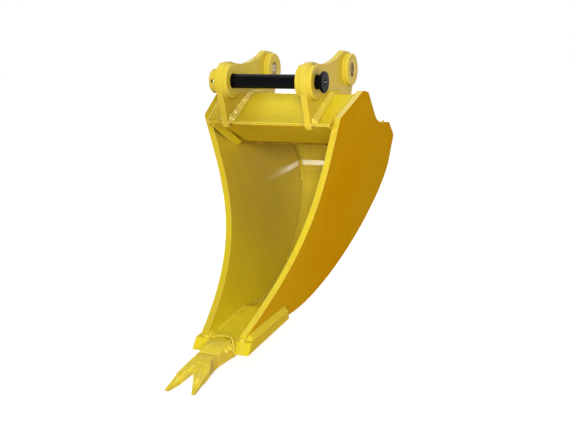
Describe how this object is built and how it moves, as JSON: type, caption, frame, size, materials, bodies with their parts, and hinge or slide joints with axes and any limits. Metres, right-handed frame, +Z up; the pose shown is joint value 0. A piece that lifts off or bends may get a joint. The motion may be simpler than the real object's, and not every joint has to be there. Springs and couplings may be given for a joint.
{
  "type": "excavator ditch bucket",
  "caption": "Tapered ditch bucket with leaning side plates, rolled back, torque box, pin ears with an arm pin, and a twin-pointed tooth on its narrow cutting edge.",
  "frame": {"origin": "middle of the arm pin's axis, half way between the two ears", "axes": "+X along the pins to the side the arm pin is driven in from, +Y from the mouth to the curved back, +Z up towards the arm"},
  "size_m": [0.571, 1.4152, 1.0355],
  "materials": {
    "yellow_paint": "glossy yellow enamel over weld seams and plate",
    "bush_steel": "machined bore, bare",
    "zinc_plate": "zinc plated",
    "black_pin": "black, semi-gloss",
    "lock_steel": "forged, bare",
    "rubber": "matt black"
  },
  "bodies": {
    "bucket": {"side_plate_left": "yellow_paint", "side_plate_right": "yellow_paint", "wrap_plate": "yellow_paint", "shell_top_plate": "yellow_paint", "cutting_edge": "yellow_paint", "box_top_plate": "yellow_paint", "box_under_plate": "yellow_paint", "box_rear_plate": "yellow_paint", "corner_gusset_left": "yellow_paint", "ear_left": "yellow_paint", "ear_right": "yellow_paint", "front_boss_left": "yellow_paint", "front_boss_right": "yellow_paint", "rear_boss_left": "yellow_paint", "rear_boss_right": "yellow_paint", "pin_collar": "yellow_paint", "tooth_adapter": "yellow_paint", "twin_tooth": "yellow_paint", "front_bush_left": "bush_steel", "front_bush_right": "bush_steel", "rear_bush_left": "bush_steel", "rear_bush_right": "bush_steel", "boss_grease_nipple_left": "zinc_plate", "boss_grease_nipple_right": "zinc_plate"},
    "arm_pin_set": {"arm_pin": "black_pin", "arm_pin_head": "black_pin", "pin_grease_nipple": "zinc_plate"},
    "lock_pin_set": {"tooth_lock_pin": "lock_steel", "lock_pin_rubber": "rubber"}
  },
  "joints": [
    {"name": "arm_pin_slide", "type": "slide", "parent": "bucket", "child": "arm_pin_set", "axis": [1, 0, 0], "range_m": [-0.0198, 0.37]},
    {"name": "lock_pin_slide", "type": "slide", "parent": "bucket", "child": "lock_pin_set", "axis": [0, -0.225, 0.9744], "range_m": [0, 0.04]}
  ]
}
